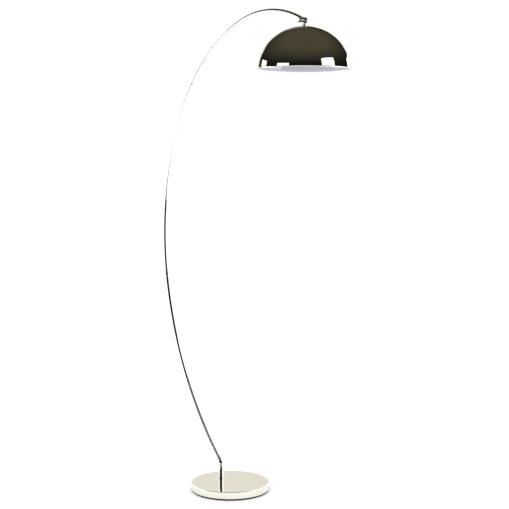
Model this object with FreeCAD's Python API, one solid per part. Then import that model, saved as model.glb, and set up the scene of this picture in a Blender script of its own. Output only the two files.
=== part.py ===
"""Arc floor lamp: a heavy round base, a short stem, a bent three-section arm and a tilting dome shade.

Frame: millimetres, +Z up, origin on the floor at the centre of the round base. The arm bends in the
XZ plane: it leans back over -X from the stem and comes forward over +X to the shade.
"""
import FreeCAD, Part
import math
import os

V = FreeCAD.Vector
UP = V(0, 0, 1)
ACROSS = V(0, 1, 0)

# ---- base ----
base_radius = 150.0          # outside of the polished cover
base_top = 33.0              # top of the cover above the floor
cover_wall = 1.2
cover_edge_radius = 2.5      # rounded top edge of the cover
pad_thickness = 3.0
pad_inset = 5.0              # pad edge inside the cover's edge
pad_rounding = 0.8
plate_inset = 4.0            # visible edge of the under-plate inside the cover's edge
plate_height = 4.0           # visible edge of the under-plate
plate_flange = 2.0           # part of the under-plate that sits inside the cover
base_gap = 0.8               # loose fit of weight and plate inside the cover, and of screw heads
weight_chamfer = 3.0
screw_circle = 110.0
screw_count = 4
screw_radius = 2.0
screw_length = 14.0
screw_head_radius = 3.6
screw_head_height = 2.4
screw_slot = 1.0             # width and depth of the driver slot
thread_gap = 0.05            # between any screw thread and its hole
overrun = 1.0                # how far joins and cuts reach past the face they meet

# ---- fixing of the stem through the weight ----
stem_x = -62.8               # stem axis, behind the middle of the base
nipple_radius = 5.0
nipple_bore = 3.2
nipple_hole_gap = 0.5        # hole in weight and cover round the nipple
washer_radius = 16.0
washer_thickness = 2.5
nut_height = 6.0
nut_across_flats = 17.0
nut_well_radius = 20.0       # well in the underside of the weight
nut_well_depth = 14.5
nipple_grip = 18.0           # nipple inside the stem's bush
elbow_nipple_start = 2.0     # upper nipple's lower end above its bush's lower end

# ---- cable way ----
flex_radius = 2.4
flex_low_point = 12.0        # height of the flex under the nut
flex_gap = 0.5               # way for the flex inside the joint's spigot
flex_end = 2.0               # flex stops this far from the joint's solid part
channel_width = 14.0
grommet_height = 15.0
grommet_flange_radius = 5.5
grommet_neck_radius = 4.5
grommet_bore = 3.0
grommet_flange = 1.4
grommet_ease = 0.2           # inner flange clear of the cover's curved wall

# ---- stem ----
stem_radius = 9.0
stem_wall = 1.5
stem_top = 74.0
bush_length = 20.0
bush_gap = 0.05
foot_ring_width = 3.0        # foot ring's edge outside the stem
foot_ring_height = 4.0
foot_ring_rounding = 1.8
spacer_ring_width = 0.8      # spacer ring's edge outside the stem
spacer_ring_height = 6.0
spacer_ring_rounding = 1.4
elbow_foot_inset = 0.4       # elbow's foot inside the stem's edge
elbow_wall = 1.8             # elbow round the lower tube
elbow_rounding = 1.0
elbow_rise = 15.3            # from the elbow's lower face to the corner of its bend
elbow_socket = 24.0          # from the bend's corner to the socket's mouth
elbow_bend_end = 7.0         # from the bend's corner to the end of its curve
elbow_seat = 9.0             # from the bend's corner to the end of the lower tube
elbow_nipple_grip = 8.0
socket_gap = 0.1             # between a tube and the socket or spigot it fits

# ---- arm: distances run along the centreline from the corner of the elbow's bend ----
arm_lean = 48.06             # backward lean of the arm at the elbow, degrees from vertical
lower_bend, lower_run = 1228.0, 826.0
middle_bend, middle_run = 955.0, 813.0
upper_bend, upper_run = 671.0, 394.0
tip_bend, tip_run = 517.0, 387.0
lower_radius, lower_wall = 9.5, 1.2
middle_radius, middle_wall = 8.0, 1.5
upper_wall = 1.0
upper_insert = 60.0          # upper tube inside the middle tube
mouth_rounding = 0.6
collar_half = 12.0
collar_spigot = 22.0
collar_seat = 4.0            # middle tube reaches this far below the collar's middle
collar_rim_width = 1.5       # collar's rim, body and foot outside the lower tube
collar_body_width = 0.9
collar_foot_width = 1.3
collar_rounding = 0.9
collar_rim_height = 7.0
collar_foot_height = 3.0
collar_bore = 4.0

# ---- tilting joint ----
knuckle_radius = 9.5
cheek_thickness = 6.0
cheek_gap = 0.6              # space between the two cheeks, filled by the friction washer
cheek_clearance = 1.3        # from a cheek's edge to the other half's neck
arm_neck_length = 26.0       # from the pivot back to the end of the upper tube
arm_spigot = 18.0
running_gap = 0.06           # turning parts on the bolt
face_gap = 0.05              # turning faces
bolt_radius = 3.0
bolt_head_width = 2.4        # head's edge outside the bolt
bolt_head_height = 2.8
bolt_head_rounding = 1.96
bolt_tail = 22.5             # bolt end on the wing nut's side
friction_washer_inset = 1.0  # washer's edge inside the cheeks' edge
clamp_washer_width = 4.2     # washer's edge outside the bolt
clamp_washer_thickness = 1.2
wing_base_width = 4.0        # nut's boss outside the bolt, at its base and its top
wing_top_width = 1.6
wing_boss_length = 11.0
wing_root = 2.0              # wings start this far up the boss
wing_root_rise = 1.5         # and their lower edge this much further at the boss's side
wing_join = 0.8              # wings reach this far into the boss's side
wing_reach = 23.0            # wing tips beyond the nut's base
wing_span = 20.0
wing_thickness = 2.6
wing_tip_rise = 7.2          # height of the wings' slanted outer ends
wing_tip_inset = 3.6

# ---- shade and lamp holder ----
tail_radius = 5.0
tail_bore = 3.2
pivot_to_shade = 20.8        # from the tilt axis to the top of the shade
shade_radius = 161.0
shade_height = 146.5
shade_wall = 1.0
shade_land = 12.0            # flat seat round the shade's hole
shade_hole_gap = 0.2
cap_wall = 2.5
cap_height = 6.0
cap_rounding = 2.0
cap_gap = 0.1
lock_washer_radius = 11.0
lock_washer_thickness = 1.5
lock_nut_flats = 14.0
lock_nut_height = 4.0
holder_drop = 8.0            # from the shade's top to the holder's cap
holder_neck_radius = 8.0
holder_neck_height = 6.0
holder_radius = 19.5
holder_shoulder_height = 10.0
holder_cap_skirt = 6.0
holder_body_length = 28.0
holder_wall = 2.0
holder_rounding = 0.8
insert_thickness = 8.0
shell_radius = 14.4
shell_wall = 0.5
shell_length = 19.0
contact_width = 6.0
contact_thickness = 0.8
bulb_cap_gap = 0.7           # bulb's cap inside the screw shell
bulb_cap_length = 24.0
bulb_tip_radius = 5.0
bulb_tip_height = 2.0
bulb_radius = 22.5
bulb_length = 53.0
bulb_neck_height = 0.6       # start of the neck above the ball's centre, as a share of its radius
bulb_neck_width = 0.8        # radius of the ball there, as a share of its radius
glass_wall = 1.0
glass_seat = 0.4             # neck inside the bulb's cap radius

# ---- places that follow from the sizes ----
cover_bottom = pad_thickness + plate_height
weight_bottom = cover_bottom + plate_flange
cover_inner = base_top - cover_wall
well_top = weight_bottom + nut_well_depth
nut_top = well_top - washer_thickness
nipple_bottom = nut_top - nut_height
foot_ring_radius = stem_radius + foot_ring_width
spacer_ring_radius = stem_radius + spacer_ring_width
elbow_foot_radius = stem_radius - elbow_foot_inset
elbow_radius = lower_radius + elbow_wall
upper_radius = middle_radius - middle_wall - socket_gap
flex_way = flex_radius + flex_gap
elbow_foot = stem_top + spacer_ring_height
elbow_height = elbow_foot + elbow_rise
joint_distance = lower_run
mouth_distance = lower_run + middle_run
pivot_distance = mouth_distance + upper_run + tip_run
tube_end = pivot_distance - arm_neck_length
bends = [(lower_bend, lower_run), (middle_bend, middle_run), (upper_bend, upper_run), (tip_bend, tip_run)]
cheek_face = cheek_gap / 2 + cheek_thickness
neck_start = knuckle_radius + cheek_clearance
bulb_cap_radius = shell_radius - shell_wall - bulb_cap_gap


def direction(heading):
    """Unit vector in the XZ plane at an angle above +X."""
    return V(math.cos(heading), 0, math.sin(heading))


def on_arm(distance):
    """Point and heading of the arm's centreline at a distance from the elbow's bend."""
    point = V(stem_x, 0, elbow_height)
    heading = math.radians(90 + arm_lean)
    for bend, run in bends:
        step = min(distance, run)
        centre = point + direction(heading - math.pi / 2) * bend
        heading -= step / bend
        point = centre + direction(heading + math.pi / 2) * bend
        distance -= step
        if distance <= 0:
            break
    return point, heading


def at_arm(shape, distance):
    """Move a shape drawn about the origin to the arm, with its own +Z along the centreline."""
    point, heading = on_arm(distance)
    turn = FreeCAD.Rotation(ACROSS, 90 - math.degrees(heading))
    shape.Placement = FreeCAD.Placement(point, turn).multiply(shape.Placement)
    return shape


def fused(pieces):
    """One solid from several that meet."""
    whole = pieces[0]
    if len(pieces) > 1:
        whole = whole.multiFuse(pieces[1:]).removeSplitter()
    return whole


def along_arm(start, end, outer, inner=0.0):
    """Round tube, or bar when inner is zero, that follows the arm's centreline."""
    pieces = []
    reached = 0.0
    for bend, run in bends:
        low = max(start, reached)
        high = min(end, reached + run)
        if high > low:
            point, heading = on_arm(low)
            centre = point + direction(heading - math.pi / 2) * bend
            section = Part.Face(Part.Wire(Part.makeCircle(outer, point, direction(heading))))
            if inner > 0:
                hole = Part.Face(Part.Wire(Part.makeCircle(inner, point, direction(heading))))
                section = section.cut(hole).Faces[0]
            pieces.append(section.revolve(centre, ACROSS, math.degrees((high - low) / bend)))
        reached += run
    return fused(pieces)


def rod(radius, low, high, x=0.0, y=0.0):
    """Upright cylinder between two heights."""
    return Part.makeCylinder(radius, high - low, V(x, y, low), UP)


def ring(outer, inner, low, high, x=0.0, y=0.0):
    """Upright ring between two heights."""
    return rod(outer, low, high, x, y).cut(rod(inner, low, high, x, y))


def cross_rod(radius, low, high, pivot):
    """Cylinder along Y through the pivot, between two distances across the arm's plane."""
    return Part.makeCylinder(radius, high - low, pivot + ACROSS * low, ACROSS)


def flex_rod(radius, low, high):
    """Cylinder along X on the flex's line through the rear of the base."""
    return Part.makeCylinder(radius, high - low, V(low, 0, grommet_height), V(1, 0, 0))


def hex_nut(flats, bore, low, high, x=0.0):
    """Upright hexagonal nut with a round bore."""
    corner = flats / math.sqrt(3)
    points = [V(x + corner * math.cos(i * math.pi / 3), corner * math.sin(i * math.pi / 3), low)
              for i in range(7)]
    block = Part.Face(Part.makePolygon(points)).extrude(V(0, 0, high - low))
    return block.cut(rod(bore, low, high, x))


def turned(points, x=0.0):
    """Solid of revolution about an upright axis from (radius, height) points."""
    outline = [V(x + r, 0, z) for r, z in points]
    outline.append(outline[0])
    return Part.Face(Part.makePolygon(outline)).revolve(V(x, 0, 0), UP, 360)


def rounded(shape, size, rims):
    """Fillet the circular edges that have the given (radius, height)."""
    chosen = []
    for edge in shape.Edges:
        if not isinstance(edge.Curve, Part.Circle):
            continue
        for radius, height in rims:
            if abs(edge.Curve.Radius - radius) < 0.01 and abs(edge.Curve.Center.z - height) < 0.01:
                chosen.append(edge)
                break
    return shape.makeFillet(size, chosen)


def round_bar(points, radius):
    """Bar with ball corners through a list of points."""
    pieces = []
    for start, end in zip(points, points[1:]):
        run = end - start
        pieces.append(Part.makeCylinder(radius, run.Length, start, run))
    pieces.extend(Part.makeSphere(radius, point) for point in points[1:-1])
    return fused(pieces)


def screw_places():
    """Centres of the under-plate's screws."""
    for i in range(screw_count):
        angle = (i + 0.5) * 2 * math.pi / screw_count
        yield screw_circle * math.cos(angle), screw_circle * math.sin(angle)


# ---- base ----
def floor_pad():
    radius = base_radius - pad_inset
    return rounded(rod(radius, 0, pad_thickness), pad_rounding, [(radius, 0)])


def base_plate():
    """Moulded under-plate: a visible edge below the cover and a flange inside it."""
    edge = rod(base_radius - plate_inset, pad_thickness, cover_bottom)
    flange = rod(base_radius - cover_wall - base_gap, cover_bottom, weight_bottom)
    plate = fused([edge, flange])
    for x, y in screw_places():
        plate = plate.cut(rod(screw_radius + thread_gap, pad_thickness, weight_bottom, x, y))
        recess = rod(screw_head_radius + base_gap, pad_thickness, pad_thickness + screw_head_height, x, y)
        plate = plate.cut(recess)
    return plate


def base_plate_screws():
    screws = []
    for x, y in screw_places():
        head_top = pad_thickness + screw_head_height
        head = rod(screw_head_radius, pad_thickness, head_top, x, y)
        corner = V(x - screw_head_radius, y - screw_slot / 2, pad_thickness)
        slot = Part.makeBox(2 * screw_head_radius, screw_slot, screw_slot, corner)
        shank = rod(screw_radius, head_top, head_top + screw_length, x, y)
        screws.append(fused([head.cut(slot), shank]))
    return Part.makeCompound(screws)


def base_weight():
    """Cast disc with the stem's hole, a well for its nut and a channel for the flex."""
    radius = base_radius - cover_wall - base_gap
    disc = rod(radius, weight_bottom, cover_inner)
    middle = (weight_bottom + cover_inner) / 2
    rim = [e for e in disc.Edges if isinstance(e.Curve, Part.Circle) and e.Curve.Center.z > middle]
    disc = disc.makeChamfer(weight_chamfer, rim)
    disc = disc.cut(rod(nipple_radius + nipple_hole_gap, weight_bottom, cover_inner, stem_x))
    disc = disc.cut(rod(nut_well_radius, weight_bottom, well_top, stem_x))
    channel = Part.makeBox(base_radius + stem_x, channel_width, nut_well_depth,
                           V(-base_radius, -channel_width / 2, weight_bottom))
    disc = disc.cut(channel)
    for x, y in screw_places():
        hole_top = pad_thickness + screw_head_height + screw_length + overrun
        disc = disc.cut(rod(screw_radius + thread_gap, weight_bottom, hole_top, x, y))
    return disc


def base_cover():
    """Spun cover with a flat top, a rounded top edge and a plain side."""
    outer = rod(base_radius, cover_bottom, base_top)
    outer = rounded(outer, cover_edge_radius, [(base_radius, base_top)])
    inner_radius = base_radius - cover_wall
    inner = rod(inner_radius, cover_bottom, cover_inner)
    inner = rounded(inner, cover_edge_radius - cover_wall, [(inner_radius, cover_inner)])
    cover = outer.cut(inner)
    cover = cover.cut(rod(nipple_radius + nipple_hole_gap, cover_inner, base_top, stem_x))
    inlet = flex_rod(grommet_neck_radius + socket_gap, -base_radius - overrun, -base_radius + 2 * cover_wall)
    return cover.cut(inlet)


def cable_grommet():
    """Rubber bush in the rear of the cover, with a flange on each side of the wall."""
    outer_face = -base_radius
    inner_face = cover_wall + grommet_ease - base_radius
    outside = flex_rod(grommet_flange_radius, outer_face - grommet_flange, outer_face)
    neck = flex_rod(grommet_neck_radius, outer_face, inner_face)
    inside = flex_rod(grommet_flange_radius, inner_face, inner_face + grommet_flange)
    bore = flex_rod(grommet_bore, outer_face - grommet_flange, inner_face + grommet_flange)
    return fused([outside, neck, inside]).cut(bore)


# ---- stem ----
def weight_washer():
    return ring(washer_radius, nipple_radius + nipple_hole_gap, nut_top, well_top, stem_x)


def weight_nut():
    return hex_nut(nut_across_flats, nipple_radius + thread_gap, nipple_bottom, nut_top, stem_x)


def stem_nipple():
    return ring(nipple_radius, nipple_bore, nipple_bottom, base_top + nipple_grip, stem_x)


def stem_bush(low):
    outer = stem_radius - stem_wall - bush_gap
    return ring(outer, nipple_radius + thread_gap, low, low + bush_length, stem_x)


def stem_foot_bush():
    return stem_bush(base_top)


def stem_top_bush():
    return stem_bush(stem_top - bush_length)


def stem_tube():
    return ring(stem_radius, stem_radius - stem_wall, base_top, stem_top, stem_x)


def stem_foot_ring():
    top = base_top + foot_ring_height
    whole = ring(foot_ring_radius, stem_radius + socket_gap, base_top, top, stem_x)
    return rounded(whole, foot_ring_rounding, [(foot_ring_radius, top)])


def stem_spacer_ring():
    outer = spacer_ring_radius
    whole = ring(outer, nipple_radius + nipple_hole_gap, stem_top, elbow_foot, stem_x)
    return rounded(whole, spacer_ring_rounding, [(outer, stem_top), (outer, elbow_foot)])


def elbow_nipple():
    low = stem_top - bush_length + elbow_nipple_start
    return ring(nipple_radius, nipple_bore, low, elbow_foot + elbow_nipple_grip, stem_x)


def elbow_turn(radius):
    """Round bar through the elbow's bend, and the height at which the bend starts."""
    point, heading = on_arm(elbow_bend_end)
    turn = heading - math.pi / 2
    bend = (stem_x - point.x) / (1 - math.cos(turn))
    start = V(stem_x, 0, point.z - bend * math.sin(turn))
    section = Part.Face(Part.Wire(Part.makeCircle(radius, start, UP)))
    return section.revolve(start - V(bend, 0, 0), -ACROSS, math.degrees(turn)), start.z


def elbow():
    """Cast elbow: a tapered foot, a bend and a socket for the lower tube."""
    bend, bend_start = elbow_turn(elbow_radius)
    foot = V(stem_x, 0, elbow_foot)
    taper = Part.makeCone(elbow_foot_radius, elbow_radius, bend_start - elbow_foot, foot, UP)
    socket = along_arm(elbow_bend_end, elbow_socket, elbow_radius)
    mouth, _ = on_arm(elbow_socket)
    socket = rounded(socket, elbow_rounding, [(elbow_radius, mouth.z)])
    body = fused([taper, bend, socket])
    way, _ = elbow_turn(nipple_bore)
    cuts = [along_arm(elbow_seat, elbow_socket + overrun, lower_radius + socket_gap),
            rod(nipple_radius + thread_gap, elbow_foot, elbow_foot + elbow_nipple_grip, stem_x),
            fused([rod(nipple_bore, elbow_foot, bend_start, stem_x), way,
                   along_arm(elbow_bend_end, elbow_seat + overrun, nipple_bore)])]
    for cut in cuts:
        body = body.cut(cut)
    return body


# ---- arm ----
def lower_tube():
    return along_arm(elbow_seat, joint_distance - collar_half, lower_radius, lower_radius - lower_wall)


def joint_collar():
    """Turned collar: a spigot in the lower tube, a socket for the middle tube."""
    foot = joint_distance - collar_half
    length = 2 * collar_half
    rim_low = length - collar_rim_height
    rim_edge = lower_radius + collar_rim_width
    body_edge = lower_radius + collar_body_width
    foot_edge = lower_radius + collar_foot_width
    body = turned([(0, 0), (foot_edge, 0), (foot_edge, collar_foot_height), (body_edge, collar_foot_height),
                   (body_edge, rim_low), (rim_edge, rim_low), (rim_edge, length), (0, length)])
    body = at_arm(rounded(body, collar_rounding, [(rim_edge, length), (foot_edge, 0)]), foot)
    spigot = along_arm(foot - collar_spigot, foot + overrun, lower_radius - lower_wall - socket_gap)
    whole = fused([body, spigot])
    seat = joint_distance - collar_seat
    whole = whole.cut(along_arm(seat, joint_distance + collar_half + overrun, middle_radius + socket_gap))
    return whole.cut(along_arm(foot - collar_spigot - overrun, seat + overrun, collar_bore))


def middle_tube():
    """Middle tube, from its seat in the collar to its mouth."""
    seat = joint_distance - collar_seat
    return along_arm(seat, mouth_distance, middle_radius, middle_radius - middle_wall)


def mouth_ferrule():
    """Thin rolled lip at the middle tube's mouth."""
    lip = ring(middle_radius, upper_radius + socket_gap, 0, 2 * mouth_rounding)
    lip = rounded(lip, mouth_rounding, [(middle_radius, 2 * mouth_rounding)])
    return at_arm(lip, mouth_distance)


def upper_tube():
    return along_arm(mouth_distance - upper_insert, tube_end, upper_radius, upper_radius - upper_wall)


def stand_flex():
    """Insulated flex inside the stand, from the inlet to the end of the arm."""
    start = V(-base_radius + cover_wall + grommet_flange + base_gap, 0, grommet_height)
    corner = V(stem_x, 0, flex_low_point)
    bend, bend_start = elbow_turn(flex_radius)
    rise = round_bar([start, corner, V(stem_x, 0, bend_start)], flex_radius)
    return fused([rise, bend, along_arm(elbow_bend_end, pivot_distance - neck_start - flex_end, flex_radius)])


# ---- tilting joint ----
def arm_knuckle():
    """Arm half of the joint: spigot, neck and the cheek on the -Y side, with a way for the flex."""
    pivot, _ = on_arm(pivot_distance)
    spigot = along_arm(tube_end - arm_spigot, tube_end + overrun, upper_radius - upper_wall - socket_gap)
    neck = along_arm(tube_end, pivot_distance - neck_start, upper_radius)
    cheek = cross_rod(knuckle_radius, -cheek_face, -cheek_gap / 2, pivot)
    reach = neck_start + overrun
    corner = V(-upper_radius, -cheek_face, -reach)
    web = at_arm(Part.makeBox(2 * upper_radius, cheek_thickness, reach, corner), pivot_distance)
    whole = fused([spigot, neck, web, cheek])
    whole = whole.cut(along_arm(tube_end - arm_spigot - overrun, pivot_distance - neck_start, flex_way))
    return whole.cut(cross_rod(bolt_radius + thread_gap, -cheek_face, 0, pivot))


def pivot_bolt():
    """Bolt across the joint with a domed head on the +Y side."""
    pivot, _ = on_arm(pivot_distance)
    head_low = cheek_face + face_gap
    shank = cross_rod(bolt_radius, -bolt_tail, head_low, pivot)
    head = cross_rod(bolt_radius + bolt_head_width, head_low, head_low + bolt_head_height, pivot)
    outer_edge = [e for e in head.Edges if isinstance(e.Curve, Part.Circle)
                  and e.Curve.Center.y > head_low + bolt_head_height / 2]
    return fused([shank, head.makeFillet(bolt_head_rounding, outer_edge)])


def friction_washer():
    pivot, _ = on_arm(pivot_distance)
    half = cheek_gap / 2 - face_gap
    disc = cross_rod(knuckle_radius - friction_washer_inset, -half, half, pivot)
    return disc.cut(cross_rod(bolt_radius + thread_gap, -half, half, pivot))


def clamp_washer():
    pivot, _ = on_arm(pivot_distance)
    low = -cheek_face - clamp_washer_thickness
    disc = cross_rod(bolt_radius + clamp_washer_width, low, -cheek_face, pivot)
    return disc.cut(cross_rod(bolt_radius + thread_gap, low, -cheek_face, pivot))


def wing_nut():
    """Nut with a tapered boss and two wings that flare outwards, up and down at rest."""
    pivot, _ = on_arm(pivot_distance)
    base = cheek_face + clamp_washer_thickness + face_gap
    base_edge = bolt_radius + wing_base_width
    top_edge = bolt_radius + wing_top_width
    boss = Part.makeCone(base_edge, top_edge, wing_boss_length, pivot - ACROSS * base, -ACROSS)
    wings = []
    for side in (1, -1):
        outline = [(wing_root, 0), (wing_root + wing_root_rise, base_edge - wing_join),
                   (wing_reach - wing_tip_rise, wing_span / 2), (wing_reach, wing_span / 2 - wing_tip_inset),
                   (wing_boss_length, 0), (wing_root, 0)]
        corners = [pivot + V(-wing_thickness / 2, -base - out, side * up) for out, up in outline]
        wings.append(Part.Face(Part.makePolygon(corners)).extrude(V(wing_thickness, 0, 0)))
    whole = fused([boss] + wings)
    return whole.cut(cross_rod(bolt_radius + running_gap, -base - wing_reach, -base, pivot))


def head_knuckle():
    """Shade half of the joint: cheek on the +Y side, neck and hollow threaded tail."""
    pivot, _ = on_arm(pivot_distance)
    cheek = cross_rod(knuckle_radius, cheek_gap / 2, cheek_face, pivot)
    reach = neck_start + overrun
    corner = pivot + V(-tail_radius, cheek_gap / 2, -reach)
    web = Part.makeBox(2 * tail_radius, cheek_thickness, reach, corner)
    tail_bottom = pivot.z - pivot_to_shade - holder_drop - holder_neck_height
    tail = rod(tail_radius, tail_bottom, pivot.z - neck_start, pivot.x)
    whole = fused([tail, web, cheek])
    whole = whole.cut(rod(tail_bore, tail_bottom, pivot.z - neck_start, pivot.x))
    return whole.cut(cross_rod(bolt_radius + running_gap, 0, cheek_face, pivot))


def pivot_place():
    """X of the tilt axis and height of the shade's top at rest."""
    pivot, _ = on_arm(pivot_distance)
    return pivot.x, pivot.z - pivot_to_shade


# ---- shade ----
def dome(radius, height, land, top, x):
    """Solid half ellipsoid with a flat land on top, standing on its rim."""
    rise = height / math.sqrt(1 - (land / radius) ** 2)
    centre = V(x, 0, top - height)
    side = centre + V(radius, 0, 0)
    crown = centre + V(0, 0, rise)
    if radius > rise:
        curve = Part.ArcOfEllipse(Part.Ellipse(side, crown, centre), 0, math.asin(height / rise))
        low, high = curve.StartPoint, curve.EndPoint
    else:
        curve = Part.ArcOfEllipse(Part.Ellipse(crown, side, centre), math.acos(height / rise), math.pi / 2)
        high, low = curve.StartPoint, curve.EndPoint
    summit = V(x, 0, top)
    edges = [curve.toShape(), Part.makeLine(high, summit), Part.makeLine(summit, centre),
             Part.makeLine(centre, low)]
    return Part.Face(Part.Wire(Part.__sortEdges__(edges))).revolve(centre, UP, 360)


def shade():
    """Spun dome shade, open below, with a hole for the tail."""
    x, top = pivot_place()
    outer = dome(shade_radius, shade_height, shade_land, top, x)
    inner = dome(shade_radius - shade_wall, shade_height - shade_wall, shade_land, top - shade_wall, x)
    hole = rod(tail_radius + shade_hole_gap, top - 2 * shade_wall, top + shade_wall, x)
    return outer.cut(inner).cut(hole)


def shade_cap():
    """Small cup on top of the shade."""
    x, top = pivot_place()
    inner = tail_radius + cap_gap
    cup = ring(inner + cap_wall, inner, top, top + cap_height, x)
    return rounded(cup, cap_rounding, [(inner + cap_wall, top + cap_height)])


def shade_washer():
    x, top = pivot_place()
    low = top - shade_wall - lock_washer_thickness
    return ring(lock_washer_radius, tail_radius + cap_gap, low, top - shade_wall, x)


def shade_nut():
    x, top = pivot_place()
    high = top - shade_wall - lock_washer_thickness
    return hex_nut(lock_nut_flats, tail_radius + thread_gap, high - lock_nut_height, high, x)


# ---- lamp holder and bulb ----
def holder_heights():
    """Heights of the holder's cap top, shoulder, skirt top, body top and body bottom."""
    _, top = pivot_place()
    cap_top = top - holder_drop
    neck_low = cap_top - holder_neck_height
    shoulder_low = neck_low - holder_shoulder_height
    body_top = shoulder_low - holder_cap_skirt
    return cap_top, neck_low, shoulder_low, body_top, body_top - holder_body_length


def holder_cap():
    """Upper half of the lamp holder, screwed to the tail."""
    x, _ = pivot_place()
    cap_top, neck_low, shoulder_low, body_top, _ = holder_heights()
    bore = tail_radius + thread_gap
    inner = holder_radius - holder_wall
    return turned([(bore, cap_top), (holder_neck_radius, cap_top), (holder_neck_radius, neck_low),
                   (holder_radius, shoulder_low), (holder_radius, body_top), (inner, body_top),
                   (inner, shoulder_low - holder_wall / 2), (bore, neck_low - holder_wall)], x)


def holder_insert():
    """Ceramic block that carries the contacts."""
    x, _ = pivot_place()
    body_top = holder_heights()[3]
    outer = holder_radius - holder_wall - socket_gap
    return ring(outer, flex_radius + socket_gap, body_top - insert_thickness / 2,
                body_top + insert_thickness / 2, x)


def holder_body():
    """Lower half of the lamp holder, a plain skirt."""
    x, _ = pivot_place()
    body_top, body_low = holder_heights()[3:]
    skirt = ring(holder_radius, holder_radius - holder_wall, body_low, body_top, x)
    return rounded(skirt, holder_rounding, [(holder_radius, body_low)])


def screw_shell():
    """Metal shell that takes the bulb's cap."""
    x, _ = pivot_place()
    high = holder_heights()[3] - insert_thickness / 2
    return ring(shell_radius, shell_radius - shell_wall, high - shell_length, high, x)


def centre_contact():
    """Sprung strip under the ceramic block."""
    x, _ = pivot_place()
    high = holder_heights()[3] - insert_thickness / 2
    return Part.makeBox(2 * contact_width, contact_width, contact_thickness,
                        V(x - contact_width, -contact_width / 2, high - contact_thickness))


def bulb_heights():
    """Heights of the bulb's tip, the top and the bottom of its cap."""
    tip_top = holder_heights()[3] - insert_thickness / 2 - contact_thickness
    return tip_top, tip_top - bulb_tip_height, tip_top - bulb_tip_height - bulb_cap_length


def bulb_cap():
    x, _ = pivot_place()
    tip_top, cap_top, cap_low = bulb_heights()
    shoulder = cap_top - bulb_tip_height
    return turned([(0, tip_top), (bulb_tip_radius, tip_top), (bulb_tip_radius, cap_top),
                   (bulb_cap_radius, shoulder), (bulb_cap_radius, cap_low), (0, cap_low)], x)


def bulb_shape(radius, neck_radius, neck_top):
    """Ball with a tapered neck up to the bulb's cap."""
    x, _ = pivot_place()
    centre = V(x, 0, bulb_heights()[2] - bulb_length + bulb_radius)
    start = bulb_neck_height * radius
    neck = Part.makeCone(bulb_neck_width * radius, neck_radius, neck_top - centre.z - start,
                         centre + UP * start, UP)
    return fused([Part.makeSphere(radius, centre), neck])


def bulb_glass():
    """Golf-ball bulb: a hollow ball with a short neck under the cap."""
    cap_low = bulb_heights()[2]
    neck_radius = bulb_cap_radius - glass_seat
    outer = bulb_shape(bulb_radius, neck_radius, cap_low)
    return outer.cut(bulb_shape(bulb_radius - glass_wall, neck_radius - glass_wall, cap_low + glass_wall))


def head_flex():
    """Flex inside the tail, down to the ceramic block."""
    x, top = pivot_place()
    high = top + pivot_to_shade - neck_start - flex_end
    return rod(flex_radius, holder_heights()[3], high, x)


pieces = [floor_pad, base_plate, base_plate_screws, base_weight, base_cover, cable_grommet,
          weight_washer, weight_nut, stem_nipple, stem_foot_bush, stem_top_bush, stem_tube,
          stem_foot_ring, stem_spacer_ring, elbow_nipple, elbow, lower_tube, joint_collar,
          middle_tube, mouth_ferrule, upper_tube, stand_flex, arm_knuckle, pivot_bolt,
          friction_washer, clamp_washer, wing_nut, head_knuckle, shade, shade_cap, shade_washer,
          shade_nut, holder_cap, holder_insert, holder_body, screw_shell, centre_contact,
          bulb_cap, bulb_glass, head_flex]

os.makedirs("parts", exist_ok=True)
for piece in pieces:
    piece().exportStep("parts/" + piece.__name__ + ".step")
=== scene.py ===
"""Looks of the arc floor lamp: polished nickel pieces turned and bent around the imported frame.

Metres, +Z up, origin on the floor at the centre of the round base. The arm lies in the XZ plane.
"""
import bmesh
import bpy
import math
from mathutils import Matrix, Vector


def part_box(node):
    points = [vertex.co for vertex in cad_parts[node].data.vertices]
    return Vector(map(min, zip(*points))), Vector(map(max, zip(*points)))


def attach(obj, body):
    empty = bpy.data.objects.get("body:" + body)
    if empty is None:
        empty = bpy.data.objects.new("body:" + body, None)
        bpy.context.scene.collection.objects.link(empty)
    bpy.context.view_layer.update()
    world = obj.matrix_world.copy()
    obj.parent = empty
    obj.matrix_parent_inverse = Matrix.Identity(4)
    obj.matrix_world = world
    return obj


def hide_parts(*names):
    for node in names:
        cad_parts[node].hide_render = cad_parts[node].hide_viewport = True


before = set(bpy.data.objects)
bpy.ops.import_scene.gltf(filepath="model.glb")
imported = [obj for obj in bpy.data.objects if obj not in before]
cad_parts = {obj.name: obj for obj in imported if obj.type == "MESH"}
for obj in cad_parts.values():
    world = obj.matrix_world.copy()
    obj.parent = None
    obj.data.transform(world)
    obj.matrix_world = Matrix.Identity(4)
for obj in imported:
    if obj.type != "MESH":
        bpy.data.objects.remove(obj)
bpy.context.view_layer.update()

UP = Vector((0, 0, 1))
ACROSS = Vector((0, 1, 0))
corner_share = 0.7071  # bevel offset that rounds a square corner by 1
noise_low, noise_high = 0.3, 0.7  # most of a noise lies between these

# ---- arm, as in the frame: distances run along the centreline from the corner of the elbow's bend ----
arm_lean = math.radians(48.06)
elbow_rise = 0.0153
bends = [(1.228, 0.826), (0.955, 0.813), (0.671, 0.394), (0.517, 0.387)]  # radius and run, elbow to tip
lower_radius, middle_radius, upper_radius = 0.0095, 0.0080, 0.0064
lower_wall, middle_wall, upper_wall = 0.0012, 0.0015, 0.0010
upper_insert = 0.060
ferrule_bore = 0.0065
ferrule_length = 0.0012

# ---- base and stem ----
cover_wall = 0.0012
cover_rounding = 0.0025
bush_bore = 0.003
bush_flange = 0.0014
bush_groove = 0.001
stem_bore = 0.0075
foot_ring_bore = 0.0091
spacer_bore = 0.0055

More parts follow.
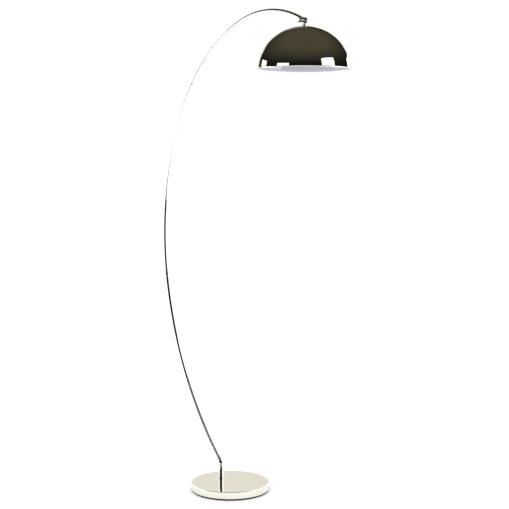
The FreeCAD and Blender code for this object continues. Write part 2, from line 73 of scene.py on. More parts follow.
# ---- elbow and collar ----
elbow_bend_end = 0.007
elbow_seat = 0.009
elbow_socket = 0.024
elbow_radius = 0.0113
elbow_foot_radius = 0.0086
elbow_chamfer = 0.0004
elbow_lip = 0.001
elbow_lip_round = ((0.00013, 0.0005), (0.0005, 0.00087))  # inset and reach, a third and two thirds round
socket_gap = 0.0001
collar_half = 0.012
collar_seat = 0.004
collar_bore = 0.0081
collar_foot_radius, collar_waist_radius, collar_rim_radius = 0.0108, 0.0104, 0.0110
collar_foot = 0.003
collar_flare = 0.0165

# ---- tilting joint ----
arm_neck_length = 0.026
neck_start = 0.0108
neck_bore = 0.0029
neck_overlap = 0.0005
neck_rounding = 0.0006
knuckle_radius = 0.0095
knuckle_rounding = 0.0007
cheek_gap = 0.0006
cheek_thickness = 0.006
tail_radius, tail_bore = 0.0050, 0.0032
web_width = 0.0100
bolt_radius = 0.0030
bolt_clearance = 0.00005
bolt_head_radius = 0.0054
bolt_socket_radius = 0.0018
bolt_socket_depth = 0.0014
clamp_washer_radius = 0.0072
nut_bore = 0.0031
boss_foot_radius, boss_tip_radius = 0.0070, 0.0046
boss_length = 0.011
wing_thickness = 0.0026

# ---- shade, holder and bulb ----
shade_wall = 0.001
shade_land = 0.012
shade_hole = 0.0052
cup_radius, cup_bore = 0.0076, 0.0051
holder_radius = 0.0195
holder_wall = 0.002
holder_edge = 0.0006
holder_neck_radius, holder_neck_bore = 0.008, 0.00505
bulb_radius = 0.0225
bulb_neck_radius = 0.0128
thread_crest, thread_root = 0.0132, 0.0124
thread_pitch = 0.0035

# ---- camera and room ----
camera_place = (3.6565, -2.5604, 1.3149)
camera_azimuth = math.radians(53.8)
camera_pitch = math.radians(5.124)
camera_lens = 83.25
floor_radius = 2.9
key_place, key_aim = (1.6, -2.2, 2.6), (0.2, 0, 1.0)
key_size = 2.0
key_energy = 12
world_white, world_seen = (1.22, 1.22, 1.22), (1.02, 1.02, 1.02)
room_low, room_high = (0.010, 0.010, 0.010), (0.082, 0.073, 0.050)
room_start, room_end = 0.22, 0.85  # sine of the elevation where the room's tone starts and stops rising
box_brightness, side_brightness = 1.5, 1.2
side_height = 1.52
backdrop_distance = 2.6
backdrop_half_width = 1.5
backdrop_height = 2.6


# ---- materials ----
def link(tree, source, target):
    tree.links.new(source, target)


def new_material(name, **constants):
    """Material whose shader sockets take the given constants, with underscores for spaces."""
    made = bpy.data.materials.new(name)
    made.use_nodes = True
    shader = made.node_tree.nodes["Principled BSDF"]
    for socket, value in constants.items():
        shader.inputs[socket.replace("_", " ")].default_value = value
    return made, made.node_tree, shader


def grain(tree, scale, detail, stretch=(1, 1, 1)):
    """Noise on the piece's own coordinates."""
    place = tree.nodes.new("ShaderNodeTexCoord")
    mapping = tree.nodes.new("ShaderNodeMapping")
    mapping.inputs["Scale"].default_value = stretch
    noise = tree.nodes.new("ShaderNodeTexNoise")
    noise.inputs["Scale"].default_value = scale
    noise.inputs["Detail"].default_value = detail
    link(tree, place.outputs["Object"], mapping.inputs["Vector"])
    link(tree, mapping.outputs["Vector"], noise.inputs["Vector"])
    return noise.outputs["Fac"]


def spread(tree, source, low, high, start=noise_low, end=noise_high):
    """Bring a value that runs from start to end, such as a noise, into the range from low to high."""
    ranged = tree.nodes.new("ShaderNodeMapRange")
    for name, value in (("From Min", start), ("From Max", end), ("To Min", low), ("To Max", high)):
        ranged.inputs[name].default_value = value
    link(tree, source, ranged.inputs["Value"])
    return ranged.outputs["Result"]


def toned(tree, source, dark, light):
    """Colour between two tones, as far along as the source is between the noise's ends."""
    ramp = tree.nodes.new("ShaderNodeValToRGB")
    ramp.color_ramp.elements[0].position = noise_low
    ramp.color_ramp.elements[0].color = (*dark, 1)
    ramp.color_ramp.elements[1].position = noise_high
    ramp.color_ramp.elements[1].color = (*light, 1)
    link(tree, source, ramp.inputs["Fac"])
    return ramp.outputs["Color"]


def bumped(tree, shader, source, depth):
    """Raise the surface by up to the depth where the noise is high."""
    bump = tree.nodes.new("ShaderNodeBump")
    bump.inputs["Distance"].default_value = depth
    bump.inputs["Strength"].default_value = 1.0
    link(tree, source, bump.inputs["Height"])
    link(tree, bump.outputs["Normal"], shader.inputs["Normal"])


def nickel(name, dark, light, low, high, waviness):
    """Mirror-polished plate: faint haze and an even fainter waviness left by the polishing wheel."""
    made, tree, shader = new_material(name, Metallic=1.0)
    link(tree, toned(tree, grain(tree, 9, 3), dark, light), shader.inputs["Base Color"])
    link(tree, spread(tree, grain(tree, 70, 6), low, high), shader.inputs["Roughness"])
    bumped(tree, shader, grain(tree, 30, 2), waviness)
    return made


def plain_finish(name, dark, light, scale, low, high, depth, stretch=(1, 1, 1), **constants):
    """Any other finish: mottled tone, uneven gloss and a fine surface grain."""
    made, tree, shader = new_material(name, **constants)
    link(tree, toned(tree, grain(tree, scale, 5, stretch), dark, light), shader.inputs["Base Color"])
    link(tree, spread(tree, grain(tree, scale * 1.7, 6, stretch), low, high), shader.inputs["Roughness"])
    bumped(tree, shader, grain(tree, scale * 4, 8, stretch), depth)
    return made


tube_nickel = nickel("tube_nickel", (0.79, 0.785, 0.76), (0.83, 0.825, 0.80), 0.015, 0.04, 0.000001)
cover_nickel = nickel("cover_nickel", (0.775, 0.76, 0.69), (0.80, 0.785, 0.715), 0.03, 0.05, 0.000001)
shade_nickel = nickel("shade_nickel", (0.74, 0.71, 0.62), (0.78, 0.75, 0.66), 0.015, 0.04, 0.000003)
# white enamel inside the shade, given a darker grey-blue tone that is partly painted shade inside the dome
enamel_and_painted_shade = plain_finish("enamel_and_painted_shade", (0.60, 0.60, 0.66), (0.64, 0.64, 0.695), 60, 0.16, 0.26, 0.00001,
                            Coat_Weight=1.0, Coat_Roughness=0.03, Coat_IOR=2.1)
cast_iron = plain_finish("cast_iron", (0.05, 0.05, 0.055), (0.11, 0.11, 0.115), 120, 0.6, 0.85, 0.0003)
black_moulding = plain_finish("black_moulding", (0.006, 0.006, 0.0065), (0.012, 0.012, 0.012), 300,
                              0.42, 0.58, 0.00004, Specular_IOR_Level=0.12)
pad_rubber = plain_finish("pad_rubber", (0.008, 0.008, 0.008), (0.016, 0.016, 0.015), 260,
                          0.75, 0.92, 0.00008, Specular_IOR_Level=0.1)
zinc_plate = plain_finish("zinc_plate", (0.55, 0.56, 0.60), (0.66, 0.67, 0.68), 240, 0.22, 0.38, 0.00001,
                          stretch=(1, 1, 6), Metallic=1.0)
flex_sheath = plain_finish("flex_sheath", (0.76, 0.76, 0.74), (0.84, 0.84, 0.82), 180, 0.38, 0.5, 0.00002)
fibre = plain_finish("fibre", (0.24, 0.06, 0.035), (0.36, 0.11, 0.06), 700, 0.6, 0.8, 0.00004)
holder_moulding = plain_finish("holder_moulding", (0.78, 0.78, 0.76), (0.84, 0.84, 0.82), 150, 0.22, 0.34,
                               0.00002)
ceramic = plain_finish("ceramic", (0.84, 0.83, 0.79), (0.90, 0.89, 0.86), 90, 0.08, 0.18, 0.00003,
                       Coat_Weight=0.6, Coat_Roughness=0.05)
contact_brass = plain_finish("contact_brass", (0.70, 0.50, 0.22), (0.82, 0.62, 0.30), 200,
                             0.18, 0.34, 0.00001, Metallic=1.0)
bulb_cap_metal = plain_finish("bulb_cap_metal", (0.70, 0.70, 0.71), (0.80, 0.80, 0.81), 260, 0.2, 0.34,
                              0.00001, Metallic=1.0)
bulb_opal = plain_finish("bulb_opal", (0.88, 0.88, 0.86), (0.93, 0.93, 0.91), 40, 0.10, 0.16, 0.00001,
                         Coat_Weight=0.5, Coat_Roughness=0.03, Subsurface_Weight=0.2, Subsurface_Scale=0.004)


# ---- shapes ----
def on_arm(distance):
    """Point and heading of the arm's centreline, and the centre of its bend there."""
    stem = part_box("stem_tube")
    point = Vector(((stem[0][0] + stem[1][0]) / 2, 0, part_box("stem_spacer_ring")[1][2] + elbow_rise))
    heading = math.pi / 2 + arm_lean
    centre = point
    for bend, run in bends:
        step = min(distance, run)
        centre = point + direction(heading - math.pi / 2) * bend
        heading -= step / bend
        point = centre + direction(heading + math.pi / 2) * bend
        distance -= step
        if distance <= 0:
            break
    return point, heading, centre


def direction(heading):
    return Vector((math.cos(heading), 0, math.sin(heading)))


def at_arm(distance):
    """Placement that turns +Z along the arm."""
    point, heading, _ = on_arm(distance)
    return Matrix.Translation(point) @ Matrix.Rotation(math.pi / 2 - heading, 4, "Y")


lower_run, middle_run, upper_run, tip_run = (run for _, run in bends)
mouth_distance = lower_run + middle_run
pivot_distance = mouth_distance + upper_run + tip_run
tube_end = pivot_distance - arm_neck_length
pivot = on_arm(pivot_distance)[0]
along_y = Matrix.Translation(pivot) @ Matrix.Rotation(-math.pi / 2, 4, "X")
shade_axis = Matrix.Translation((pivot.x, 0, 0))


def measure(node):
    """Axis, outer radius, low and high of an upright round node."""
    low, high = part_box(node)
    middle = Matrix.Translation(((low[0] + high[0]) / 2, (low[1] + high[1]) / 2, 0))
    return middle, (high[1] - low[1]) / 2, low[2], high[2]


def once(items):
    """The items in their order, each of them one time."""
    return list(dict.fromkeys(items))


def turn_profile(bm, corners, steps=128):
    """Spin (radius, height, rounding) corners into a closed skin about the mesh's own Z."""
    verts = [bm.verts.new((radius, 0, height)) for radius, height, _ in corners]
    edges = [bm.edges.new(pair) for pair in zip(verts, verts[1:] + verts[:1])]
    for vert, (_, _, rounding) in zip(verts, corners):
        if rounding:
            bmesh.ops.bevel(bm, geom=[vert], offset=rounding * corner_share, segments=6, profile=0.5,
                            affect="VERTICES", material=-1)
    edges = [edge for edge in bm.edges if edge.is_wire]
    verts = once(vert for edge in edges for vert in edge.verts)
    bmesh.ops.spin(bm, geom=verts + edges, cent=(0, 0, 0), axis=UP, angle=2 * math.pi, steps=steps,
                   use_merge=True)


def finish_mesh(bm, node, body, materials, smooth=32, flats=False):
    """Turn a bmesh into a piece that rides on a body and stands for one CAD node."""
    name = node + "_finish"
    bmesh.ops.remove_doubles(bm, verts=bm.verts, dist=1e-6)
    bmesh.ops.dissolve_degenerate(bm, edges=bm.edges, dist=1e-7)
    bmesh.ops.recalc_face_normals(bm, faces=bm.faces)
    mesh = bpy.data.meshes.new(name)
    bm.to_mesh(mesh)
    bm.free()
    mesh.shade_smooth()
    mesh.set_sharp_from_angle(angle=math.radians(smooth))
    for item in materials:
        mesh.materials.append(item)
    piece = bpy.data.objects.new(name, mesh)
    bpy.context.scene.collection.objects.link(piece)
    if flats:
        piece.modifiers.new("flat_faces", "WEIGHTED_NORMAL").keep_sharp = True
    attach(piece, body)
    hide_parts(node)
    return piece


def turned(name, corners, place, body="stand", material=None, steps=128):
    """Piece turned from a profile and put in its place, standing for the CAD node of that name."""
    bm = bmesh.new()
    turn_profile(bm, corners, steps)
    bmesh.ops.transform(bm, matrix=place, verts=bm.verts)
    finish_mesh(bm, name, body, [material or tube_nickel], flats=True)


def ring_corners(outer, inner, low, high, rounding):
    return [(inner, low, 0), (outer, low, rounding), (outer, high, rounding), (inner, high, 0)]


def sweep_arm(bm, loop, start, end, pitch=0.01):
    """Carry a loop of edges along the arm between two distances; returns the last loop."""
    reached = 0.0
    for bend, run in bends:
        low, high = max(start, reached), min(end, reached + run)
        if high > low:
            centre = on_arm(low + 1e-6)[2]
            turn = (high - low) / bend
            steps = max(2, round((high - low) / pitch))
            made = bmesh.ops.spin(bm, geom=loop, cent=centre, axis=ACROSS, angle=turn, steps=steps)
            loop = made["geom_last"]
        reached += run
    return loop


def circle_at(bm, radius, place):
    """Circle of edges at a placement."""
    made = bmesh.ops.create_circle(bm, radius=radius, segments=64, matrix=place)
    verts = made["verts"]
    return verts + once(edge for vert in verts for edge in vert.link_edges)


def edges_of(loop):
    return [item for item in loop if isinstance(item, bmesh.types.BMEdge)]


def arm_pipe(bm, start, end, outer, inner):
    """Hollow pipe along the arm, closed at both ends."""
    outsides = [circle_at(bm, radius, at_arm(start)) for radius in (outer, inner)]
    ends = [sweep_arm(bm, loop, start, end) for loop in outsides]
    bmesh.ops.bridge_loops(bm, edges=edges_of(outsides[0]) + edges_of(outsides[1]))
    bmesh.ops.bridge_loops(bm, edges=edges_of(ends[0]) + edges_of(ends[1]))


def arm_tube(name, start, end, outer, wall):
    """One tube of the arm, standing for the CAD node of that name."""
    bm = bmesh.new()
    arm_pipe(bm, start, end, outer, outer - wall)
    finish_mesh(bm, name, "stand", [tube_nickel])


def block(bm, size, place, rounding):
    """Block with rounded edges, centred on the placement."""
    made = bmesh.ops.create_cube(bm, size=1.0, matrix=place @ Matrix.Diagonal((*size, 1)))
    edges = once(edge for vert in made["verts"] for edge in vert.link_edges)
    bmesh.ops.bevel(bm, geom=edges, offset=rounding, segments=3, profile=0.5, affect="EDGES", material=-1)


def add_part(bm, part, name):
    """Add a finished part to the piece that it belongs to."""
    copied = bpy.data.meshes.new(name)
    part.to_mesh(copied)
    part.free()
    bm.from_mesh(copied)
    bpy.data.meshes.remove(copied)


# ---- base and stem ----
def base_cover():
    """Polished disc, open below."""
    _, _, low, high = measure("base_cover")
    radius = -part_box("base_cover")[0][1]
    inner = radius - cover_wall
    ceiling = high - cover_wall
    corners = [(0, high, 0), (radius, high, cover_rounding), (radius, low, 0.0002), (inner, low, 0),
               (inner, ceiling, 0.0013), (0, ceiling, 0)]
    turned("base_cover", corners, Matrix.Identity(4), material=cover_nickel, steps=256)


def cable_grommet():
    """Rubber bush in the rear of the base, lying along X, with a flange on both sides of the wall."""
    low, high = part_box("cable_grommet")
    outer = (high[2] - low[2]) / 2
    waist = outer - bush_groove
    length = high[0] - low[0]
    inner_flange = length - bush_flange
    place = Matrix.Translation((low[0], 0, (low[2] + high[2]) / 2)) @ Matrix.Rotation(math.pi / 2, 4, "Y")
    corners = [(bush_bore, 0, 0.0004), (outer, 0, 0.0006), (outer, bush_flange, 0.0002),
               (waist, bush_flange, 0), (waist, inner_flange, 0), (outer, inner_flange, 0),
               (outer, length, 0.0003), (bush_bore, length, 0)]
    turned("cable_grommet", corners, place, material=pad_rubber, steps=64)


def stem():
    """Upright tube, the ring at its foot and the spacer ring on its top."""
    middle, radius, low, high = measure("stem_tube")
    turned("stem_tube", ring_corners(radius, stem_bore, low, high, 0), middle)
    middle, radius, low, high = measure("stem_foot_ring")
    turned("stem_foot_ring", [(foot_ring_bore, low, 0), (radius, low, 0), (radius, high, 0.0017),
                              (foot_ring_bore, high, 0.0004)], middle)
    middle, radius, low, high = measure("stem_spacer_ring")
    turned("stem_spacer_ring", ring_corners(radius, spacer_bore, low, high, 0.0014), middle)


def elbow():
    """Cast elbow: tapered foot, bend and a socket with a rounded mouth."""
    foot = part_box("stem_spacer_ring")[1][2]
    stem_middle = measure("stem_tube")[0]
    point, heading, _ = on_arm(elbow_bend_end)
    turn = heading - math.pi / 2
    bend = (stem_middle.translation.x - point.x) / (1 - math.cos(turn))
    start = point.z - bend * math.sin(turn)
    bm = bmesh.new()
    outline = [(elbow_foot_radius - elbow_chamfer, foot), (elbow_foot_radius, foot + elbow_chamfer),
               (elbow_radius, start)]
    low, rim, corner = [circle_at(bm, radius, stem_middle @ Matrix.Translation((0, 0, height)))
                        for radius, height in outline]
    bmesh.ops.bridge_loops(bm, edges=edges_of(low) + edges_of(rim))
    bmesh.ops.bridge_loops(bm, edges=edges_of(rim) + edges_of(corner))
    centre = (stem_middle.translation.x - bend, 0, start)
    made = bmesh.ops.spin(bm, geom=corner, cent=centre, axis=-ACROSS, angle=turn, steps=24)
    lip_start = elbow_socket - elbow_lip
    last = sweep_arm(bm, made["geom_last"], elbow_bend_end, lip_start, 0.002)
    bore = lower_radius + socket_gap
    rings = [(elbow_radius - inset, lip_start + reach) for inset, reach in elbow_lip_round]
    for radius, distance in (*rings, (bore, elbow_socket), (bore, elbow_seat)):
        ring = circle_at(bm, radius, at_arm(distance))
        bmesh.ops.bridge_loops(bm, edges=edges_of(last) + edges_of(ring))
        last = ring
    bmesh.ops.holes_fill(bm, edges=[edge for edge in bm.edges if edge.is_boundary], sides=0)
    finish_mesh(bm, "elbow", "stand", [tube_nickel], flats=True)


# ---- arm ----
def collar():
    """Turned collar between the lower and the middle tube: foot, waist and a wider rim."""
    length = 2 * collar_half
    corners = [(collar_bore, 0.001, 0), (collar_foot_radius - 0.0006, 0, 0),
               (collar_foot_radius, 0.0006, 0.0003), (collar_foot_radius, collar_foot, 0.0003),
               (collar_waist_radius, collar_foot, 0.0001), (collar_waist_radius, collar_flare, 0.0001),
               (collar_rim_radius, collar_flare + 0.0005, 0.0003), (collar_rim_radius, length, 0.0009),
               (collar_bore, length, 0.0002)]
    turned("joint_collar", corners, at_arm(lower_run - collar_half))


def ferrule():
    """Small ring at the mouth where the upper tube slides in."""
    corners = [(ferrule_bore, 0, 0), (middle_radius, 0, 0), (middle_radius, ferrule_length, 0.0006),
               (ferrule_bore, ferrule_length, 0.0003)]
    turned("mouth_ferrule", corners, at_arm(mouth_distance))


def arm():
    arm_tube("lower_tube", elbow_seat, lower_run - collar_half, lower_radius, lower_wall)
    collar()
    arm_tube("middle_tube", lower_run - collar_seat, mouth_distance, middle_radius, middle_wall)
    arm_tube("upper_tube", mouth_distance - upper_insert, tube_end, upper_radius, upper_wall)
    ferrule()


# ---- tilting joint ----
def cheek(bm, low, high, bore):
    """Round cheek with softened rims and a bore for the bolt, between two distances across the arm."""
    made = bmesh.new()
    turn_profile(made, ring_corners(knuckle_radius, bore, low, high, knuckle_rounding), 96)
    bmesh.ops.transform(made, matrix=along_y, verts=made.verts)
    add_part(bm, made, "cheek")


def arm_knuckle():
    """Neck on the end of the arm with one cheek beside the joint's middle."""
    bm = bmesh.new()
    arm_pipe(bm, tube_end + 0.0002, pivot_distance - neck_start, upper_radius, neck_bore)
    across = -(cheek_gap + cheek_thickness) / 2
    place = at_arm(pivot_distance) @ Matrix.Translation((0, across, -neck_start / 2 - neck_overlap))
    block(bm, (2 * upper_radius, cheek_thickness, neck_start + 2 * neck_overlap), place, neck_rounding)
    cheek(bm, -cheek_gap / 2 - cheek_thickness, -cheek_gap / 2, bolt_radius + bolt_clearance)
    finish_mesh(bm, "arm_knuckle", "stand", [tube_nickel], flats=True)


def head_knuckle():
    """Cheek, web and hollow threaded tail that carries the shade."""
    bm = bmesh.new()
    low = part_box("head_knuckle")[0][2]
    top = pivot.z - neck_start
    tail = bmesh.new()
    turn_profile(tail, [(tail_bore, low, 0), (tail_radius, low, 0.0004), (tail_radius, top, 0.0008),
                        (tail_bore, top, 0)], 64)
    bmesh.ops.transform(tail, matrix=shade_axis, verts=tail.verts)
    add_part(bm, tail, "tail")
    across = (cheek_gap + cheek_thickness) / 2
    place = Matrix.Translation(pivot + Vector((0, across, -neck_start / 2 - neck_overlap)))
    block(bm, (web_width, cheek_thickness, neck_start + 2 * neck_overlap), place, neck_rounding)
    cheek(bm, cheek_gap / 2, cheek_gap / 2 + cheek_thickness, bolt_radius + bolt_clearance + 0.00001)
    finish_mesh(bm, "head_knuckle", "head", [tube_nickel], flats=True)


def bolt_and_washers():
    """Bolt through both cheeks, with a socket in its head, and the washer under the wing nut."""
    low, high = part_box("pivot_bolt")
    head_low = cheek_gap / 2 + cheek_thickness + bolt_clearance
    head_high = high[1]
    socket_floor = head_high - bolt_socket_depth
    corners = [(0, low[1], 0), (bolt_radius, low[1], 0.0004), (bolt_radius, head_low, 0),
               (bolt_head_radius, head_low, 0.0002), (bolt_head_radius, head_high, 0.0019),
               (bolt_socket_radius, head_high, 0.0002), (bolt_socket_radius, socket_floor, 0),
               (0, socket_floor, 0)]
    turned("pivot_bolt", corners, along_y)
    low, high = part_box("clamp_washer")
    corners = ring_corners(clamp_washer_radius, bolt_radius + bolt_clearance, low[1], high[1], 0.0003)
    turned("clamp_washer", corners, along_y)


def wing(side, foot, tip, boss_end, half_span):
    """One rounded wing, upwards for side 1 and downwards for side -1."""
    made = bmesh.new()
    outline = [(foot - 0.0022, 0.0042), (foot - 0.0040, 0.0064), (tip + 0.0072, half_span),
               (tip, half_span - 0.0036), (boss_end, 0.0034)]
    verts = [made.verts.new((-wing_thickness / 2, across, side * up)) for across, up in outline]
    made.faces.new(verts)
    bmesh.ops.bevel(made, geom=[verts[2], verts[3]], offset=0.0016, segments=6, profile=0.5,
                    affect="VERTICES", material=-1)
    grown = bmesh.ops.extrude_face_region(made, geom=list(made.faces))
    moved = [item for item in grown["geom"] if isinstance(item, bmesh.types.BMVert)]
    bmesh.ops.translate(made, vec=(wing_thickness, 0, 0), verts=moved)
    bmesh.ops.recalc_face_normals(made, faces=made.faces)
    rims = [edge for edge in made.edges if abs(edge.verts[0].co.x - edge.verts[1].co.x) < 1e-6]
    bmesh.ops.bevel(made, geom=rims, offset=0.0006, segments=3, profile=0.5, affect="EDGES", material=-1)
    bmesh.ops.translate(made, vec=(pivot.x, 0, pivot.z), verts=made.verts)
    return made


def wing_nut():
    """Tapered boss with two rounded wings."""
    low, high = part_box("wing_nut")
    foot, tip = high[1], low[1]
    boss_end = foot - boss_length
    bm = bmesh.new()
    turn_profile(bm, [(nut_bore, boss_end, 0.0002), (boss_tip_radius, boss_end, 0.0008),
                      (boss_foot_radius, foot, 0.0005), (nut_bore, foot, 0)], 96)
    bmesh.ops.transform(bm, matrix=along_y, verts=bm.verts)
    for side in (1, -1):
        add_part(bm, wing(side, foot, tip, boss_end, (high[2] - low[2]) / 2), "wing")
    finish_mesh(bm, "wing_nut", "wing_nut", [tube_nickel], flats=True)


# ---- shade, holder and bulb ----
def shade():
    """Spun half ellipsoid with a flat seat, polished outside and enamelled inside, the enamel's grey-blue
    tone partly painted shade.
    """
    _, _, low, high = measure("shade")
    radius = (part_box("shade")[1][0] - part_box("shade")[0][0]) / 2
    height = high - low
    rise = height / math.sqrt(1 - (shade_land / radius) ** 2)
    bm = bmesh.new()
    start = bm.verts.new((radius, 0, 0))
    turn = math.asin(height / rise)
    made = bmesh.ops.spin(bm, geom=[start], cent=(0, 0, 0), axis=-ACROSS, angle=turn, steps=72)
    bmesh.ops.scale(bm, vec=(1, 1, rise / radius), verts=bm.verts)
    summit = [item for item in made["geom_last"] if isinstance(item, bmesh.types.BMVert)]
    seat = bmesh.ops.extrude_vert_indiv(bm, verts=summit)
    for vert in seat["verts"]:
        vert.co = (shade_hole, 0, height)
    bmesh.ops.spin(bm, geom=bm.verts[:] + bm.edges[:], cent=(0, 0, 0), axis=UP, angle=2 * math.pi, steps=256,
                   use_merge=True)
    bmesh.ops.translate(bm, vec=(pivot.x, 0, low), verts=bm.verts)
    piece = finish_mesh(bm, "shade", "head", [shade_nickel, enamel_and_painted_shade])
    skin = piece.modifiers.new("wall", "SOLIDIFY")
    skin.thickness = shade_wall
    skin.offset = -1
    skin.use_even_offset = True
    skin.material_offset = 1


def shade_cup():
    """Small cup round the tail, on top of the shade."""
    _, _, low, high = measure("shade_cap")
    corners = [(cup_bore, low, 0), (cup_radius, low, 0.0003), (cup_radius, high, 0.0020),
               (cup_bore, high, 0.0002)]
    turned("shade_cap", corners, shade_axis, body="head")


def holder_cap():
    """Upper half of the lamp holder: neck, sloping shoulder and straight skirt."""
    _, _, low, high = measure("holder_cap")
    neck_low = high - 0.006
    shoulder = neck_low - 0.010
    inner = holder_radius - holder_wall
    corners = [(holder_neck_bore, high, 0), (holder_neck_radius, high, 0.0008),
               (holder_neck_radius, neck_low, 0.0012), (holder_radius, shoulder, 0.0030),
               (holder_radius, low + holder_edge, 0.0003), (holder_radius - holder_edge, low, 0),
               (inner, low, 0), (inner, shoulder - 0.001, 0), (holder_neck_bore, neck_low - 0.002, 0)]
    turned("holder_cap", corners, shade_axis, body="head", material=holder_moulding)


def holder_body():
    """Lower half of the lamp holder, with three grooves for the grip."""
    _, _, low, high = measure("holder_body")
    inner = holder_radius - holder_wall
    root = holder_radius - holder_edge
    corners = [(inner, high, 0), (root, high, 0), (holder_radius, high - holder_edge, 0)]
    for band in range(3):
        groove = high - 0.005 - band * 0.004
        corners += [(holder_radius, groove, 0.0002), (root, groove - holder_edge, 0),
                    (holder_radius, groove - 2 * holder_edge, 0.0002)]
    corners += [(holder_radius, low, 0.0008), (inner, low, 0.0004)]
    turned("holder_body", corners, shade_axis, body="head", material=holder_moulding)


def bulb_glass():
    """Opal ball of a golf-ball bulb, drawn in to its neck."""
    _, _, low, high = measure("bulb_glass")
    centre = low + bulb_radius
    bm = bmesh.new()
    start = bm.verts.new((0, 0, centre - bulb_radius))
    rise = math.radians(90) + math.asin(0.6)
    bmesh.ops.spin(bm, geom=[start], cent=(0, 0, centre), axis=-ACROSS, angle=rise, steps=56)
    top = max(bm.verts, key=lambda vert: vert.co.z)
    for reach, height in ((0.0152, centre + 0.0175), (bulb_neck_radius, high),
                          (bulb_neck_radius - 0.001, high)):
        grown = bmesh.ops.extrude_vert_indiv(bm, verts=[top])
        top = grown["verts"][0]
        top.co = (reach, 0, height)
    bmesh.ops.spin(bm, geom=bm.verts[:] + bm.edges[:], cent=(0, 0, 0), axis=UP, angle=2 * math.pi, steps=96,
                   use_merge=True)
    bmesh.ops.holes_fill(bm, edges=[edge for edge in bm.edges if edge.is_boundary], sides=0)
    bmesh.ops.transform(bm, matrix=shade_axis, verts=bm.verts)
    finish_mesh(bm, "bulb_glass", "head", [bulb_opal], smooth=40)


def bulb_cap():
    """Screw cap with a rolled thread and a contact button."""
    _, _, low, high = measure("bulb_cap")
    corners = [(0, low, 0), (thread_crest, low, 0.0002)]
    for turn in range(1, 6):
        height = low + turn * thread_pitch
        corners += [(thread_crest, height - 0.0010, 0.0004), (thread_root, height, 0.0005),
                    (thread_crest, height + 0.0010, 0.0004)]
    corners += [(thread_crest, high - 0.0045, 0.0004), (0.0050, high - 0.002, 0.0004), (0.0050, high, 0.0006),
                (0, high, 0)]
    turned("bulb_cap", corners, shade_axis, body="head", material=bulb_cap_metal,
           steps=96)


def kept_nodes():
    """CAD pieces that stay, with finishes of their own."""
    finishes = {"floor_pad": pad_rubber, "base_plate": black_moulding, "base_plate_screws": zinc_plate,
                "base_weight": cast_iron, "weight_washer": zinc_plate, "weight_nut": zinc_plate,
                "stem_nipple": zinc_plate, "stem_foot_bush": zinc_plate, "stem_top_bush": zinc_plate,
                "elbow_nipple": zinc_plate, "stand_flex": flex_sheath, "head_flex": flex_sheath,
                "friction_washer": fibre, "shade_washer": zinc_plate, "shade_nut": zinc_plate,
                "holder_insert": ceramic, "screw_shell": contact_brass, "centre_contact": contact_brass}
    for name, finish in finishes.items():
        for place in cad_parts[name].material_slots:
            place.material = finish


# ---- room ----
def background(tree, colour):
    """World background of one colour, or of a colour from another node."""
    sky = tree.nodes.new("ShaderNodeBackground")
    if isinstance(colour, tuple):
        sky.inputs["Color"].default_value = (*colour, 1)
    else:
        link(tree, colour, sky.inputs["Color"])
    return sky.outputs["Background"]


def either(tree, chosen, plain, other):
    """One background, or another where the ray is of the chosen kind."""
    mix = tree.nodes.new("ShaderNodeMixShader")
    link(tree, chosen, mix.inputs[0])
    link(tree, plain, mix.inputs[1])
    link(tree, other, mix.inputs[2])
    return mix.outputs[0]


def studio():
    """White surroundings, except that mirror reflections see a dim room, black low down and brown above."""
    world = bpy.data.worlds.new("studio")
    bpy.context.scene.world = world
    world.use_nodes = True
    tree = world.node_tree
    tree.nodes.clear()
    place = tree.nodes.new("ShaderNodeTexCoord")
    parts = tree.nodes.new("ShaderNodeSeparateXYZ")
    link(tree, place.outputs["Generated"], parts.inputs["Vector"])
    height = spread(tree, parts.outputs["Z"], noise_low, noise_high, room_start, room_end)
    room = background(tree, toned(tree, height, room_low, room_high))
    rays = tree.nodes.new("ShaderNodeLightPath")
    white = either(tree, rays.outputs["Is Camera Ray"], background(tree, world_white),
                   background(tree, world_seen))
    out = tree.nodes.new("ShaderNodeOutputWorld")
    link(tree, either(tree, rays.outputs["Is Glossy Ray"], white, room), out.inputs["Surface"])


def in_room(front, right, up):
    """Point of the room, measured from the shade's axis towards the front, to the right and up."""
    low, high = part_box("shade")
    start = Vector(((low[0] + high[0]) / 2, 0, up))
    to_front = Vector((math.sin(camera_azimuth), -math.cos(camera_azimuth), 0))
    to_right = Vector((math.cos(camera_azimuth), math.sin(camera_azimuth), 0))
    return start + to_front * front + to_right * right


def area_light(name, place, aim, width, height, energy):
    """Soft rectangular light at one point, turned towards another."""
    lamp = bpy.data.lights.new(name, "AREA")
    lamp.shape = "RECTANGLE"
    lamp.size = width
    lamp.size_y = height
    lamp.energy = energy
    light = bpy.data.objects.new(name, lamp)
    light.location = place
    light.rotation_euler = (Vector(aim) - light.location).to_track_quat("-Z", "Y").to_euler()
    bpy.context.scene.collection.objects.link(light)
    return light


def soft_box(name, centre, facing, width, height, brightness):
    """Evenly bright panel that shows only in reflections."""
    energy = 4 * brightness * width * height
    light = area_light(name, in_room(*centre), in_room(*facing), width, height, energy)
    light.visible_camera = False
    light.visible_diffuse = False


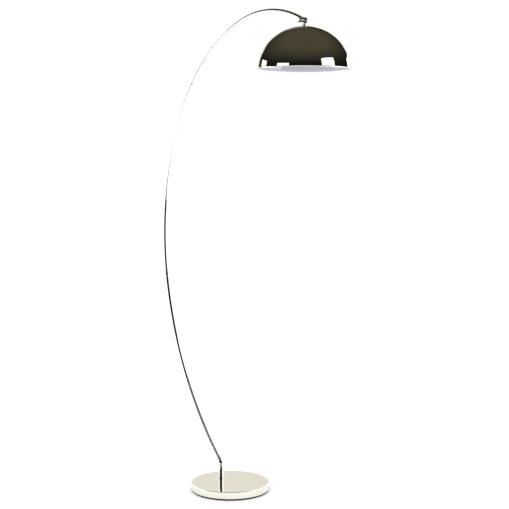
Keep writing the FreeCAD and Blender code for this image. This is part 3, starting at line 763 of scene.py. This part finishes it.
def soft_boxes():
    """Four soft boxes round the shade, and a tall one on each side of the arm."""
    for name, centre, width, height in (("right_box", (0.57, 0.82, 1.86), 0.60, 0.34),
                                        ("left_box", (0.94, -1.29, 1.82), 0.88, 0.22),
                                        ("far_left_box", (-0.68, -1.34, 1.86), 0.60, 0.25),
                                        ("far_right_box", (-1.13, 0.98, 1.84), 0.66, 0.28)):
        soft_box(name, centre, (0, 0, centre[2]), width, height, box_brightness)
    for name, centre, width in (("left_side", (-1.5, -1.5, 0.80), 3.0),
                                ("right_side", (-1.35, 0.64, 0.80), 3.3)):
        soft_box(name, centre, (centre[0], 0, centre[2]), width, side_height, side_brightness)


def pale_sheet(name, bm, dark, light):
    """Matt pale surface that stands in the room and isn't part of the lamp."""
    mesh = bpy.data.meshes.new(name)
    bm.to_mesh(mesh)
    bm.free()
    finish, tree, shader = new_material("pale_" + name, Roughness=0.9, Specular_IOR_Level=0.0)
    link(tree, toned(tree, grain(tree, 3, 2), dark, light), shader.inputs["Base Color"])
    mesh.materials.append(finish)
    sheet = bpy.data.objects.new(name, mesh)
    bpy.context.scene.collection.objects.link(sheet)
    return sheet


def backdrop():
    """Plain sheet behind the lamp, which shows only in reflections."""
    bm = bmesh.new()
    corners = [(-backdrop_half_width, 0), (backdrop_half_width, 0), (backdrop_half_width, backdrop_height),
               (-backdrop_half_width, backdrop_height)]
    bm.faces.new([bm.verts.new(in_room(-backdrop_distance, right, up)) for right, up in corners])
    sheet = pale_sheet("backdrop", bm, (0.735, 0.72, 0.665), (0.745, 0.73, 0.675))
    sheet.visible_camera = False
    sheet.visible_diffuse = False


def floor():
    bm = bmesh.new()
    bmesh.ops.create_circle(bm, cap_ends=True, radius=floor_radius, segments=128)
    pale_sheet("floor", bm, (0.955, 0.955, 0.95), (0.965, 0.965, 0.96))


def camera():
    lens = bpy.data.cameras.new("camera")
    lens.lens = camera_lens
    lens.sensor_width = 36
    view = bpy.data.objects.new("camera", lens)
    view.location = camera_place
    view.rotation_euler = (math.pi / 2 - camera_pitch, 0, camera_azimuth)
    bpy.context.scene.collection.objects.link(view)
    bpy.context.scene.camera = view


def key_light():
    """Large soft light from the front, which leaves no reflection of its own."""
    light = area_light("soft_light", key_place, key_aim, key_size, key_size, key_energy)
    light.visible_glossy = False


bpy.context.scene.view_settings.view_transform = "Standard"
camera()
key_light()
studio()
soft_boxes()
backdrop()
floor()
kept_nodes()
base_cover()
cable_grommet()
stem()
elbow()
arm()
arm_knuckle()
head_knuckle()
bolt_and_washers()
wing_nut()
shade()
shade_cup()
holder_cap()
holder_body()
bulb_glass()
bulb_cap()
